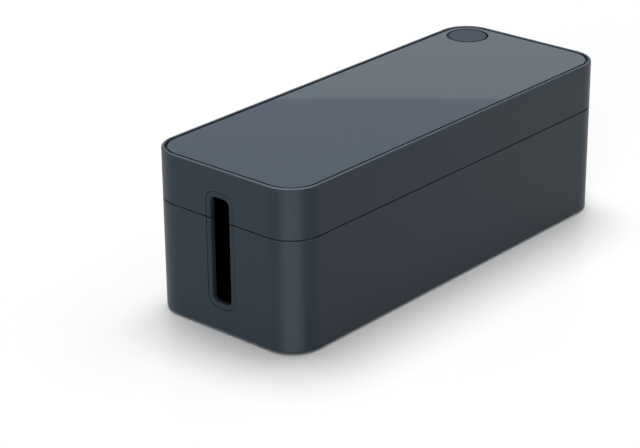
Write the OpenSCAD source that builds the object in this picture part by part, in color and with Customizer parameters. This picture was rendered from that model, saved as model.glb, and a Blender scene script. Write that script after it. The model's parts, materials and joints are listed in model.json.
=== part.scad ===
// Cable management box: a tub and a lift-off lid with a cable slot at each end, an inlaid pad on top
// and a capped cable outlet in one corner. It stands on the plane z = 0, centred on the z axis, with
// its length along x. The front is towards -y and the left end towards -x.

/* [Box] */
// Overall length
box_l = 406; // [340:1:480]
// Overall width
box_w = 156; // [130:1:200]
// Overall height, standing on its feet
box_h = 139; // [130:1:170]
// Outside radius of the upright corners
corner_r = 28; // [18:1:34]
// Thickness of the side walls
wall_t = 2.7; // [2.3:0.1:3.2]
// Thickness of the tub's floor
floor_t = 2.8; // [2.2:0.1:4]
// Radius along the tub's lower outside edge
base_edge_r = 2; // [0.5:0.1:2.2]
// Radius inside, where a wall runs into the floor or the lid's top
root_r = 3; // [1:0.5:6]

/* [Seam] */
// Height of the lid's side, from its lower edge to its top
lid_h = 42; // [36:0.5:56]
// Shadow gap between the tub's edge and the lid's edge
seam_gap = 1; // [0.5:0.1:2]
// Height of the locating tongue above the tub's edge
tongue_h = 4; // [2.5:0.5:6]
// Thickness of the locating tongue
tongue_t = 1.2; // [0.9:0.1:1.3]
// Clearance between the tongue and the lid
tongue_clear = 0.3; // [0.2:0.05:0.4]
// Radius on the outside edges along the seam
seam_edge_r = 0.4; // [0.2:0.05:0.6]

/* [Lid top] */
// Width of the rim round the pad
rim_w = 2.8; // [2:0.1:4]
// Radius on the rim's inside edge
rim_edge_r = 0.9; // [0.2:0.1:1.2]
// Radius along the lid's upper outside edge
lid_edge_r = 1.5; // [0.5:0.1:1.8]
// Thickness of the lid's top under the pad
plate_t = 2.4; // [1.8:0.1:3.5]
// Open gap between the rim and the pad
pad_gap = 2.1; // [0.6:0.1:2.4]
// Thickness of the pad
pad_t = 2.4; // [1.2:0.1:3]
// Depth of the pad's face below the rim
pad_sink = 0.5; // [0:0.1:0.8]
// Radius on the pad's upper edge along the rim
pad_edge_r = 0.3; // [0.1:0.1:1.1]
// Depth to which the gaps round the pad and the cap are cut into the lid's top
groove_h = 0.8; // [0.4:0.1:1.4]
// Thickness of the double-sided sheet under the pad
sheet_t = 0.2; // [0.1:0.05:0.4]
// Distance that the sheet stays back from the pad's edges
sheet_inset = 1; // [0.5:0.5:4]

/* [Cable slots] */
// Width of the slot
slot_w = 19.6; // [14:0.1:26]
// Height of the slot's lower end above the table
slot_low = 25.8; // [20:0.1:30]
// Distance of the slot's upper end below the box's top
slot_high = 23.8; // [20:0.1:28]
// Radius in the slot's corners
slot_r = 5; // [3:0.5:7]
// Width of the band that shows round the slot
band_w = 4.5; // [3.5:0.1:6]
// Thickness of the band, which lies in a recess in the wall
band_t = 1; // [0.7:0.1:1.3]
// Open gap between the band and the wall
band_gap = 0.4; // [0.2:0.05:0.6]
// Thickness of the trim's sleeve, through the wall
sleeve_t = 1.5; // [1:0.1:2]
// Width of the trim's flange inside the wall, from the slot outwards
flange_w = 3.5; // [2.6:0.1:5]
// Thickness of the trim's inside flange
flange_t = 1.6; // [0.8:0.1:2.4]
// Radius on the trim's edges at the mouth of the slot
mouth_r = 1; // [0.4:0.1:1.2]

/* [Cable outlet] */
// Distance of the outlet's centre from both outside faces at its corner
outlet_inset = 27.5; // [27:0.5:40]
// Diameter of the cap's disc
cap_d = 33.9; // [32:0.1:36]
// Open gap between the cap and the pad
cap_gap = 1.8; // [0.4:0.1:2.2]
// Radius on the cap's upper edge
cap_edge_r = 0.4; // [0.2:0.1:1.2]
// Radius on the pad's upper edge round the cap
hole_edge_r = 0.3; // [0.1:0.1:0.8]
// Diameter of the hole through the lid
outlet_d = 29; // [24:0.5:30]
// Depth of the collar below the lid's top
collar_h = 8; // [6:0.5:14]
// Thickness of the collar
collar_t = 2; // [1.2:0.1:3]
// Depth of the cap's skirt in the hole
skirt_h = 5; // [3:0.5:6]
// Thickness of the cap's skirt
skirt_t = 1.8; // [1.2:0.1:2.5]
// Clearance between the skirt and the hole
skirt_clear = 0.3; // [0.2:0.05:0.5]

/* [Feet] */
// Diameter of a foot
foot_d = 14; // [10:0.5:20]
// Distance of a foot's centre from both outside faces at its corner
foot_inset = 24; // [20:0.5:34]
// Height that a foot stands below the tub
foot_proud = 0.8; // [0.6:0.1:2]
// Depth of the recess that holds a foot
foot_recess = 1; // [0.8:0.1:1.4]
// Thickness of the tape disc over a foot
tape_t = 0.2; // [0.1:0.05:0.3]
// Radius on a foot's lower edge
foot_edge_r = 0.3; // [0.1:0.1:0.5]

/* [Vents and ribs] */
// Width of a vent slot in the floor
vent_w = 3; // [2:0.5:3.5]
// Length of a vent slot
vent_l = 40; // [20:1:50]
// Distance between neighbouring vent slots
vent_pitch = 9; // [7:0.5:11]
// Number of vent slots in each row
vent_count = 8; // [2:1:9]
// Distance of a vent field's middle from the box's middle
vent_x = 85; // [70:1:95]
// Distance between the two rows of a vent field
vent_row_gap = 14; // [8:1:20]
// Thickness of every rib
rib_t = 1.6; // [1:0.1:2.4]
// Height of the low ribs across the tub's floor
floor_rib_h = 2.5; // [1:0.5:4]
// Length of the low ribs across the tub's floor
floor_rib_l = 110; // [60:1:118]
// Distance from a vent field's middle to the ribs beside it
floor_rib_x = 50; // [48:1:55]
// Depth of the ribs under the lid's top
lid_rib_h = 5; // [2:0.5:8]
// Distance of the lid's long ribs from its middle
lid_rib_y = 24; // [16:1:26]
// Distance of the lid's outer cross ribs from its middle
lid_rib_x = 100; // [60:1:120]

/* [Hidden] */
$fn = 96;
// Overrun of every cut past the face that it opens
over = 1;
// Gap between a fixed insert and its seat
fit = 0.15;
// Solid wall kept beside a trim, where the tongue and its rabbet stop
slot_land = 3;
// Width of the strip along the pad's outline that is swept with its rounded edge
pad_band = 3;

shell_colour = "#363d45";
pad_colour = "#68717a";
cap_colour = "#515862";
trim_colour = "#323940";
foot_colour = "#22262a";
tape_colour = "#cbc7bc";

tub_low = foot_proud;
floor_top = tub_low + floor_t;
tub_band = wall_t + root_r;

lid_low = box_h - lid_h;
tub_h = lid_low - seam_gap;
tongue_top = tub_h + tongue_h;
lip_t = wall_t - tongue_t - tongue_clear;
pad_top = box_h - pad_sink;
pad_low = pad_top - pad_t;
plate_top = pad_low - sheet_t;
plate_low = plate_top - plate_t;

pad_inset = rim_w + pad_gap;
lid_band = max(wall_t, pad_inset) + root_r;
cap_hole_r = cap_d / 2 + cap_gap;
outlet_x = box_l / 2 - outlet_inset;
outlet_y = box_w / 2 - outlet_inset;

band_reach = band_w + band_gap;
zone_w = slot_w + 2 * (band_reach + slot_land);
slot_h = box_h - slot_low - slot_high;
slot_mid = slot_low + slot_h / 2;

foot_x = box_l / 2 - foot_inset;
foot_y = box_w / 2 - foot_inset;
foot_top = tub_low + foot_recess - tape_t;

LEFT = 1;
RIGHT = 0;
FRONT = 1;
REAR = 0;

// Flat shapes

module rounded_rect(l, w, r) {
    square([l - 2 * r, w], center = true);
    square([l, w - 2 * r], center = true);
    for (x = [-1, 1])
        for (y = [-1, 1])
            translate([x * (l / 2 - r), y * (w / 2 - r)])
                circle(r);
}

// What lies between a square corner at the origin and the arc that rounds it
module corner_web(r) {
    difference() {
        square(r);
        translate([r, r])
            circle(r);
    }
}

// Sweeps and blocks

// Sweeps a section round a rounded rectangle. The section's x is the distance inwards from the
// outline, and its y is the height.
module swept(l, w, r) {
    for (turn_x = [0, 1])
        for (turn_y = [0, 1])
            mirror([turn_x, 0, 0])
                mirror([0, turn_y, 0])
                    translate([l / 2 - r, w / 2 - r, 0])
                        rotate_extrude(angle = 90)
                            translate([r, 0])
                                mirror([1, 0])
                                    children();
    for (turn_y = [0, 1])
        mirror([0, turn_y, 0])
            translate([r - l / 2, w / 2, 0])
                rotate([90, 0, 90])
                    linear_extrude(l - 2 * r)
                        mirror([1, 0])
                            children();
    for (turn_x = [0, 1])
        mirror([turn_x, 0, 0])
            translate([l / 2, w / 2 - r, 0])
                rotate([90, 0, 0])
                    linear_extrude(w - 2 * r)
                        mirror([1, 0])
                            children();
}

// A flat slab with the box's outline, set in from the outside faces
module inset_slab(inset, low, high) {
    translate([0, 0, low])
        linear_extrude(high - low)
            rounded_rect(box_l - 2 * inset, box_w - 2 * inset, corner_r - inset);
}

// Lays a shape drawn flat over the slot's outline into the wall at the right-hand end, with the
// shape's x up the wall and its z outwards from the wall's outside face.
module at_slot() {
    translate([box_l / 2, 0, slot_mid])
        rotate([0, 90, 0])
            rotate([0, 0, 180])
                children();
}

module slot_prism(reach, inner, outer) {
    at_slot()
        translate([0, 0, -inner])
            linear_extrude(inner + outer)
                rounded_rect(slot_h + 2 * reach, slot_w + 2 * reach, slot_r + reach);
}

module at_both_ends() {
    for (turn = [0, 1])
        mirror([turn, 0, 0])
            children();
}

// The hole and the recess that take a trim
module slot_seats() {
    at_both_ends() {
        slot_prism(sleeve_t + fit, wall_t + over, over);
        slot_prism(band_reach, band_t, over);
    }
}

// The stretch of end wall beside a slot, between two heights and two depths from the outside face
module slot_zone(width, outer, inner, low, high) {
    at_both_ends()
        translate([box_l / 2 - inner, -width / 2, low])
            cube([inner - outer, width, high - low]);
}

// Base tub

module tub_section() {
    difference() {
        union() {
            translate([0, tub_low])
                square([tub_band, floor_t]);
            translate([0, tub_low])
                square([wall_t, tub_h - tub_low]);
            translate([wall_t - tongue_t, tub_low])
                square([tongue_t, tongue_top - tub_low]);
            translate([wall_t, floor_top])
                corner_web(root_r);
        }
        translate([0, tub_low])
            corner_web(base_edge_r);
        translate([0, tub_h])
            mirror([0, 1])
                corner_web(seam_edge_r);
        translate([wall_t - tongue_t, tongue_top])
            mirror([0, 1])
                corner_web(seam_edge_r);
    }
}

module vent_slot() {
    translate([0, 0, tub_low - over])
        linear_extrude(floor_t + 2 * over) {
            square([vent_w, vent_l - vent_w], center = true);
            for (end = [-1, 1])
                translate([0, end * (vent_l - vent_w) / 2])
                    circle(d = vent_w);
        }
}

module vents() {
    for (side = [-1, 1])
        for (row = [-1, 1])
            for (i = [0 : vent_count - 1])
                translate([
                    side * vent_x + (i - (vent_count - 1) / 2) * vent_pitch,
                    row * (vent_l + vent_row_gap) / 2,
                    0
                ])
                    vent_slot();
}

module floor_ribs() {
    for (side = [-1, 1])
        for (step = [-1, 1])
            translate([side * (vent_x + step * floor_rib_x) - rib_t / 2, -floor_rib_l / 2, floor_top - floor_t / 2])
                cube([rib_t, floor_rib_l, floor_t / 2 + floor_rib_h]);
}

module at_feet() {
    for (x = [-1, 1])
        for (y = [-1, 1])
            translate([x * foot_x, y * foot_y, 0])
                children();
}

module base_tub() {
    color(shell_colour)
        difference() {
            union() {
                swept(box_l, box_w, corner_r)
                    tub_section();
                inset_slab(wall_t + root_r / 2, tub_low, floor_top);
                floor_ribs();
            }
            slot_zone(zone_w + 2 * tongue_clear, -over, wall_t + over, tub_h, tongue_top + over);
            slot_seats();
            vents();
            at_feet()
                translate([0, 0, tub_low - over])
                    cylinder(h = foot_recess + over, d = foot_d + 2 * fit);
        }
}

// Lid shell

module lid_section() {
    difference() {
        union() {
            translate([0, lid_low])
                square([lip_t, box_h - lid_low]);
            translate([0, tongue_top])
                square([wall_t, box_h - tongue_top]);
            translate([0, plate_low])
                square([lid_band, box_h - plate_low]);
            translate([wall_t, plate_low])
                mirror([0, 1])
                    corner_web(root_r);
        }
        translate([rim_w, plate_top])
            square([lid_band, box_h - plate_top + over]);
        translate([rim_w, plate_top - groove_h])
            square([pad_gap, groove_h + over]);
        translate([0, box_h])
            mirror([0, 1])
                corner_web(lid_edge_r);
        translate([0, lid_low])
            corner_web(seam_edge_r);
        translate([rim_w, box_h])
            mirror([1, 0])
                mirror([0, 1])
                    corner_web(rim_edge_r);
    }
}

module lid_ribs() {
    for (side = [-1, 1])
        translate([wall_t / 2 - box_l / 2, side * lid_rib_y - rib_t / 2, plate_low - lid_rib_h])
            cube([box_l - wall_t, rib_t, lid_rib_h + plate_t / 2]);
    for (step = [-1, 0, 1])
        translate([step * lid_rib_x - rib_t / 2, wall_t / 2 - box_w / 2, plate_low - lid_rib_h])
            cube([rib_t, box_w - wall_t, lid_rib_h + plate_t / 2]);
}

module at_outlet(z) {
    translate([outlet_x, outlet_y, z])
        children();
}

module lid_shell() {
    color(shell_colour)
        difference() {
            union() {
                swept(box_l, box_w, corner_r)
                    lid_section();
                inset_slab(lid_band - root_r / 2, plate_low, plate_top);
                slot_zone(zone_w, lip_t, wall_t, lid_low, tongue_top + over);
                lid_ribs();
                at_outlet(plate_low - collar_h)
                    cylinder(h = collar_h + plate_t / 2, d = outlet_d + 2 * collar_t);
            }
            slot_seats();
            at_outlet(plate_low - collar_h - over)
                cylinder(h = collar_h + plate_t + 2 * over, d = outlet_d);
            at_outlet(plate_top - groove_h)
                difference() {
                    cylinder(h = groove_h + over, r = cap_hole_r);
                    translate([0, 0, -over])
                        cylinder(h = groove_h + 3 * over, d = cap_d);
                }
        }
}

// Pad, its sheet and the cap

module pad_section() {
    difference() {
        translate([0, pad_low])
            square([pad_band, pad_t]);
        translate([0, pad_top])
            mirror([0, 1])
                corner_web(pad_edge_r);
    }
}

module lid_pad() {
    color(pad_colour)
        difference() {
            union() {
                swept(box_l - 2 * pad_inset, box_w - 2 * pad_inset, corner_r - pad_inset)
                    pad_section();
                inset_slab(pad_inset + pad_band / 2, pad_low, pad_top);
            }
            at_outlet(pad_low - over)
                cylinder(h = pad_t + 2 * over, r = cap_hole_r);
            at_outlet(0)
                rotate_extrude()
                    translate([cap_hole_r, pad_top])
                        mirror([0, 1])
                            corner_web(hole_edge_r);
        }
}

module pad_adhesive() {
    color(tape_colour)
        difference() {
            inset_slab(pad_inset + sheet_inset, plate_top, pad_low);
            at_outlet(plate_top - over)
                cylinder(h = sheet_t + 2 * over, r = cap_hole_r + sheet_inset);
        }
}

module cap_section() {
    skirt_r = outlet_d / 2 - skirt_clear;
    difference() {
        union() {
            translate([0, plate_top])
                square([cap_d / 2, pad_top - plate_top]);
            translate([skirt_r - skirt_t, plate_top - skirt_h])
                square([skirt_t, skirt_h]);
        }
        translate([cap_d / 2, pad_top])
            mirror([1, 0])
                mirror([0, 1])
                    corner_web(cap_edge_r);
    }
}

module outlet_cap() {
    color(cap_colour)
        at_outlet(0)
            rotate_extrude()
                cap_section();
}

// Slot trims

// The trim's channel section: the band outside, the sleeve through the wall and the flange inside.
// Its x runs into the slot from the slot's own edge, so the material is at negative x.
module trim_section() {
    difference() {
        union() {
            translate([-band_w, -band_t])
                square([band_w, band_t]);
            translate([-sleeve_t, -wall_t - flange_t])
                square([sleeve_t, wall_t + flange_t]);
            translate([-flange_w, -wall_t - flange_t])
                square([flange_w, flange_t]);
        }
        mirror([1, 0])
            mirror([0, 1])
                corner_web(mouth_r);
        translate([-band_w, 0])
            mirror([0, 1])
                corner_web(mouth_r / 2);
    }
}

module slot_trim(turn, low, high) {
    reach = slot_w / 2 + band_w + over;
    depth = wall_t + flange_t + over;
    color(trim_colour)
        mirror([turn, 0, 0])
            intersection() {
                at_slot()
                    swept(slot_h, slot_w, slot_r)
                        trim_section();
                translate([box_l / 2 - depth, -reach, low])
                    cube([depth + over, 2 * reach, high - low]);
            }
}

module lower_trim(turn) {
    slot_trim(turn, tub_low, tub_h);
}

module upper_trim(turn) {
    slot_trim(turn, lid_low, plate_low);
}

// Feet

module foot_section() {
    difference() {
        square([foot_d / 2, foot_top]);
        translate([foot_d / 2, 0])
            mirror([1, 0])
                corner_web(foot_edge_r);
    }
}

module at_foot(turn_x, turn_y) {
    mirror([turn_x, 0, 0])
        mirror([0, turn_y, 0])
            translate([foot_x, foot_y, 0])
                children();
}

module foot(turn_x, turn_y) {
    color(foot_colour)
        at_foot(turn_x, turn_y)
            rotate_extrude()
                foot_section();
}

module foot_tape(turn_x, turn_y) {
    color(tape_colour)
        at_foot(turn_x, turn_y)
            translate([0, 0, foot_top])
                cylinder(h = tape_t, d = foot_d - sheet_inset);
}

base_tub();
lid_shell();
lid_pad();
pad_adhesive();
outlet_cap();
lower_trim(LEFT);  // slot_trim_left_lower
upper_trim(LEFT);  // slot_trim_left_upper
lower_trim(RIGHT);  // slot_trim_right_lower
upper_trim(RIGHT);  // slot_trim_right_upper
foot(LEFT, FRONT);  // foot_front_left
foot(RIGHT, FRONT);  // foot_front_right
foot(LEFT, REAR);  // foot_rear_left
foot(RIGHT, REAR);  // foot_rear_right
foot_tape(LEFT, FRONT);  // foot_adhesive_front_left
foot_tape(RIGHT, FRONT);  // foot_adhesive_front_right
foot_tape(LEFT, REAR);  // foot_adhesive_rear_left
foot_tape(RIGHT, REAR);  // foot_adhesive_rear_right
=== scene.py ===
"""Studio scene of a cable management box.

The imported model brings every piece: the tub, the lid, the pad, the outlet's cap, the slot trims, the
feet and their tape. This file gives each its finish, and adds the table, the light and the camera.
Lengths are in metres unless a name ends in _mm.
"""

import json
import math

import bpy
from mathutils import Matrix, Vector

MM = 0.001
WHITE = "#ffffff"

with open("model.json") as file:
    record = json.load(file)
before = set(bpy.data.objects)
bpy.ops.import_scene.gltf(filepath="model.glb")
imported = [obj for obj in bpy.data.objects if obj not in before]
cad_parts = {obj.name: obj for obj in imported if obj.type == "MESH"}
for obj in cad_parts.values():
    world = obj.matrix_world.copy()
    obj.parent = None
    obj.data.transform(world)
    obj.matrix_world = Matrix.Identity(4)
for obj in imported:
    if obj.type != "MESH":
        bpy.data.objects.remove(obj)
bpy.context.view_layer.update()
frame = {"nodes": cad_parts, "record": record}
scene = bpy.context.scene


# Colours and nodes

def linear(hex_colour):
    """A colour written as sRGB hex, as the linear RGBA that Blender's sockets take."""
    rgb = []
    for start in (1, 3, 5):
        level = int(hex_colour[start:start + 2], 16) / 255
        rgb.append(level / 12.92 if level <= 0.04045 else ((level + 0.055) / 1.055) ** 2.4)
    return (*rgb, 1.0)


def add(tree, kind, inputs, **settings):
    """Adds a node with its settings. Each input is a plain value, or the socket that feeds it."""
    made = tree.nodes.new(kind)
    for name, value in settings.items():
        setattr(made, name, value)
    for name, value in inputs.items():
        if isinstance(value, bpy.types.NodeSocket):
            tree.links.new(value, made.inputs[name])
        else:
            made.inputs[name].default_value = value
    return made


def new_material(name):
    material = bpy.data.materials.new(name)
    material.use_nodes = True
    material.node_tree.nodes.clear()
    return material, material.node_tree


def ray_kinds(tree):
    """Two sockets. The first is 1 for what the camera sees, straight or through something clear, and the
    second is 1 for what shows in gloss."""
    ray = add(tree, "ShaderNodeLightPath", {}).outputs
    eye = add(tree, "ShaderNodeMath", {
        0: ray["Is Camera Ray"], 1: ray["Is Transmission Ray"]
    }, operation="MAXIMUM")
    return eye.outputs[0], ray["Is Glossy Ray"]


# Sockets of the Mix node, which has one set for numbers and one for colours
NUMBER_A, NUMBER_B, NUMBER_OUT = 2, 3, 0
COLOUR_A, COLOUR_B, COLOUR_OUT = 6, 7, 2


# Finishes

# Distance over which a moulding's colour and gloss drift, and how far its roughness drifts each way
FLOW_MM = 60
ROUGHNESS_DRIFT = 0.02
# How many finer layers of noise lie over the drift and over the grain
FLOW_LAYERS = 3.0
GRAIN_LAYERS = 2.0


def moulded(name, colours, grain_mm, depth_mm, roughness, specular, lacquer=None):
    """A moulded polymer. Its surface has the mould's fine grain, and its colour and gloss drift a little
    over the piece, as pigment and flow lines do. The two colours are the ends of that drift."""
    material, tree = new_material(name)
    place = add(tree, "ShaderNodeTexCoord", {}).outputs["Object"]
    flow = add(tree, "ShaderNodeTexNoise", {
        "Vector": place, "Scale": 1 / (FLOW_MM * MM), "Detail": FLOW_LAYERS
    }).outputs["Fac"]
    tint = add(tree, "ShaderNodeMix", {
        "Factor": flow, COLOUR_A: linear(colours[0]), COLOUR_B: linear(colours[1])
    }, data_type="RGBA")
    grain = add(tree, "ShaderNodeTexNoise", {
        "Vector": place, "Scale": 1 / (grain_mm * MM), "Detail": GRAIN_LAYERS
    })
    bump = add(tree, "ShaderNodeBump", {
        "Height": grain.outputs["Fac"], "Distance": depth_mm * MM, "Strength": 1.0
    })
    dullness = add(tree, "ShaderNodeMapRange", {
        "Value": flow, "To Min": roughness - ROUGHNESS_DRIFT, "To Max": roughness + ROUGHNESS_DRIFT
    })
    surface = add(tree, "ShaderNodeBsdfPrincipled", {
        "Base Color": tint.outputs[COLOUR_OUT], "Roughness": dullness.outputs["Result"],
        "Normal": bump.outputs["Normal"], "Specular IOR Level": specular, **(lacquer or {})
    })
    add(tree, "ShaderNodeOutputMaterial", {"Surface": surface.outputs["BSDF"]})
    return material


# The real grain of such mouldings is about 0.1 mm wide, which is too fine to show. It is drawn coarser
# here, so that it shows from near by, and from the camera's place it stays as even as in the photograph.
FINISHES = {
    # Anthracite ABS from a mould with a spark-eroded grain: an even satin that softens every reflection
    "shell": moulded("moulded ABS, fine grain", ("#212e38", "#23303a"), grain_mm=0.5, depth_mm=0.004,
                     roughness=0.38, specular=0.25),
    # The pad: a smooth ABS sheet with all its gloss in a thin clear lacquer, which mirrors the room at a
    # low angle
    # Its colour is lighter than the shell's: partly its own shade, and partly painted light for the brightly
    # lit top
    "pad": moulded("lacquered ABS sheet", ("#3d4a56", "#3f4b57"), grain_mm=0.4, depth_mm=0.001,
                   roughness=0.5, specular=0.0, lacquer={"Coat Weight": 0.6, "Coat Roughness": 0.02}),
    # The cap: soft-touch elastomer over ABS, which kills the gloss
    "cap": moulded("soft-touch elastomer", ("#3f4650", "#404751"), grain_mm=0.5, depth_mm=0.006,
                   roughness=0.6, specular=0.1),
    # The trims: thermoplastic elastomer, as dark as the shell and duller
    "trim": moulded("moulded TPE", ("#2b353d", "#2d373f"), grain_mm=0.6, depth_mm=0.006,
                    roughness=0.55, specular=0.175),
    # The feet: dark elastomer with a rubbery dullness
    "foot": moulded("moulded TPE, dark", ("#22262a", "#26292d"), grain_mm=0.6, depth_mm=0.01,
                    roughness=0.7, specular=0.3),
    # The tape: pale acrylic foam, slightly waxy
    "tape": moulded("acrylic foam tape", ("#cbc7bc", "#c4c0b4"), grain_mm=0.8, depth_mm=0.01,
                    roughness=0.6, specular=0.3),
}

# Each node takes the finish of the slot that the record gives it
for part in frame["record"]["subparts"]:
    piece = frame["nodes"][part["node"]]
    piece.data.materials.clear()
    piece.data.materials.append(FINISHES[part["material_slot"]])


# Table

# So wide that its edge is far from the box on every side
TABLE_SIZE = 30.0
# Its paint as the camera sees it, and the darker grey that it lights and colours the box with, so that
# the sides of the box don't turn pale
TABLE_PAINT = "#f0f0f0"
TABLE_BOUNCE = "#aaaaaa"
# A little light of its own, which brings the open table to full white and leaves the box's shadow on it,
# and a painted glow that it adds only where it shows in the gloss of the box
TABLE_GLOW = 0.01
TABLE_GLOW_IN_GLOSS = 0.3
# The lacquer, which mirrors the foot of the box faintly
TABLE_ROUGHNESS = 0.16
TABLE_SPECULAR = 0.2


def lacquered_table():
    material, tree = new_material("white lacquered board")
    eye, gloss = ray_kinds(tree)
    # A painted glow, added only where the table shows in the gloss of the box
    glow_in_gloss = add(tree, "ShaderNodeMath", {0: gloss, 1: TABLE_GLOW_IN_GLOSS}, operation="MULTIPLY")
    glow = add(tree, "ShaderNodeMath", {
        0: eye, 1: TABLE_GLOW, 2: glow_in_gloss.outputs[0]
    }, operation="MULTIPLY_ADD")
    paint = add(tree, "ShaderNodeMix", {
        "Factor": eye, COLOUR_A: linear(TABLE_BOUNCE), COLOUR_B: linear(TABLE_PAINT)
    }, data_type="RGBA")
    board = add(tree, "ShaderNodeBsdfPrincipled", {
        "Base Color": paint.outputs[COLOUR_OUT], "Roughness": TABLE_ROUGHNESS,
        "Specular IOR Level": TABLE_SPECULAR,
        "Emission Color": linear(WHITE), "Emission Strength": glow.outputs[0]
    })
    add(tree, "ShaderNodeOutputMaterial", {"Surface": board.outputs["BSDF"]})
    return material


bpy.ops.mesh.primitive_plane_add(size=TABLE_SIZE)
table = bpy.context.object
table.name = "table"
table.data.materials.append(lacquered_table())


# Light

def soft_light(name, azimuth, elevation, spread, strength, mirrored_in=None):
    """A wide soft light from far off. Azimuth 0 stands in front of the box and 90 at its right-hand end,
    spread is how wide it looks, in degrees, and strength is what a white sheet that faces it shows.
    It lights every surface and shows in no gloss. With mirrored_in it does nothing but show in the gloss
    of those pieces."""
    lamp = bpy.data.lights.new(name, "SUN")
    lamp.angle = math.radians(spread)
    # A white sheet that faces a sun shows its energy divided by pi
    lamp.energy = strength * math.pi
    made = bpy.data.objects.new(name, lamp)
    turn, rise = math.radians(azimuth), math.radians(elevation)
    towards = Vector((math.sin(turn) * math.cos(rise), -math.cos(turn) * math.cos(rise), math.sin(rise)))
    # A sun shines along its own -z
    made.rotation_mode = "QUATERNION"
    made.rotation_quaternion = towards.to_track_quat("Z", "Y")
    scene.collection.objects.link(made)
    if mirrored_in:
        # Only the pieces themselves stand in its way, so it may shine from below the table. A reflected
        # ray would still end at the table, so such a light isn't looked for with those. It shows at first
        # hand only, and so casts no stray dots on the table or in the seam.
        made.visible_diffuse = False
        made.light_linking.receiver_collection = mirrored_in
        made.light_linking.blocker_collection = mirrored_in
        lamp.cycles.use_multiple_importance_sampling = elevation > 0
        lamp.cycles.max_bounces = 0
    else:
        made.visible_glossy = False


# From above, a little behind and to the right, for the top and the soft shadow in front and at the left
soft_light("ceiling light", azimuth=142, elevation=76, spread=40, strength=0.875)
# From the right, for the fainter and wider shadow at the left
soft_light("side light", azimuth=70, elevation=42, spread=60, strength=0.215)
# Level with the box, for its left-hand end and its front
soft_light("front light", azimuth=-70, elevation=2, spread=30, strength=1.03)

# Two strips of light that only the satin mouldings mirror: the first in the curve of the upright corner
# and the second along the rounded edge of the rim. The pad's lacquer would show them as white patches.
mouldings = bpy.data.collections.new("mouldings")
for node in ("base_tub", "lid_shell"):
    mouldings.objects.link(frame["nodes"][node])
soft_light("glint in the corner", azimuth=-51, elevation=-23, spread=60, strength=0.42, mirrored_in=mouldings)
soft_light("glint on the rim", azimuth=0, elevation=90, spread=90, strength=3.2, mirrored_in=mouldings)

# The room is white to the eye. What shows of it in gloss is a bright wall, up to WALL_TOP degrees, and a
# darker ceiling, whose border is the step across the pad. ROOM_LIGHT is what it lights the box with.
WALL_TOP = 20.2
WALL_WHITE = 0.97
CEILING_WHITE = 0.57
ROOM_LIGHT = 0.15


def studio_room():
    world = bpy.data.worlds.new("studio room")
    scene.world = world
    world.use_nodes = True
    tree = world.node_tree
    tree.nodes.clear()
    eye, gloss = ray_kinds(tree)
    direction = add(tree, "ShaderNodeTexCoord", {}).outputs["Generated"]
    height = add(tree, "ShaderNodeSeparateXYZ", {"Vector": direction}).outputs["Z"]
    above = add(tree, "ShaderNodeMath", {
        0: height, 1: math.sin(math.radians(WALL_TOP))
    }, operation="GREATER_THAN")
    mirrored = add(tree, "ShaderNodeMapRange", {
        "Value": above.outputs[0], "To Min": WALL_WHITE, "To Max": CEILING_WHITE
    })
    unseen = add(tree, "ShaderNodeMix", {
        "Factor": gloss, NUMBER_A: ROOM_LIGHT, NUMBER_B: mirrored.outputs["Result"]
    }, data_type="FLOAT")
    strength = add(tree, "ShaderNodeMix", {
        "Factor": eye, NUMBER_A: unseen.outputs[NUMBER_OUT], NUMBER_B: 1.0
    }, data_type="FLOAT")
    background = add(tree, "ShaderNodeBackground", {
        "Color": linear(WHITE), "Strength": strength.outputs[NUMBER_OUT]
    })
    add(tree, "ShaderNodeOutputWorld", {"Surface": background.outputs["Background"]})


studio_room()


# Camera. Its place, aim and lens come from a fit to the edges of the box in the photograph, whose frame
# is 640 x 448 pixels.

CAMERA_PLACE_MM = Vector((-1294.3, -1061.0, 755.9))
CAMERA_YAW = 48.7235
CAMERA_PITCH = 23.5535
CAMERA_ROLL = -0.535
FOCAL_PIXELS = 2146.3
FRAME_WIDTH_PIXELS = 640
# How far the camera sees, which is past the table's far edge from any side
FARTHEST_SEEN = 2 * TABLE_SIZE


def photo_camera():
    yaw, pitch, roll = (math.radians(a) for a in (CAMERA_YAW, CAMERA_PITCH, CAMERA_ROLL))
    ahead = Vector((math.sin(yaw) * math.cos(pitch), math.cos(yaw) * math.cos(pitch), -math.sin(pitch)))
    level = ahead.cross(Vector((0, 0, 1))).normalized()
    upright = level.cross(ahead)
    right = level * math.cos(roll) + upright * math.sin(roll)
    up = upright * math.cos(roll) - level * math.sin(roll)
    data = bpy.data.cameras.new("photo camera")
    data.sensor_fit = "HORIZONTAL"
    data.lens = FOCAL_PIXELS / FRAME_WIDTH_PIXELS * data.sensor_width
    data.clip_end = FARTHEST_SEEN
    camera = bpy.data.objects.new("photo camera", data)
    # A camera looks along its own -z, with its x to the right and its y up
    aim = Matrix((right, up, -ahead)).transposed().to_4x4()
    camera.matrix_world = Matrix.Translation(CAMERA_PLACE_MM * MM) @ aim
    scene.collection.objects.link(camera)
    scene.camera = camera


photo_camera()
scene.view_settings.view_transform = "Standard"
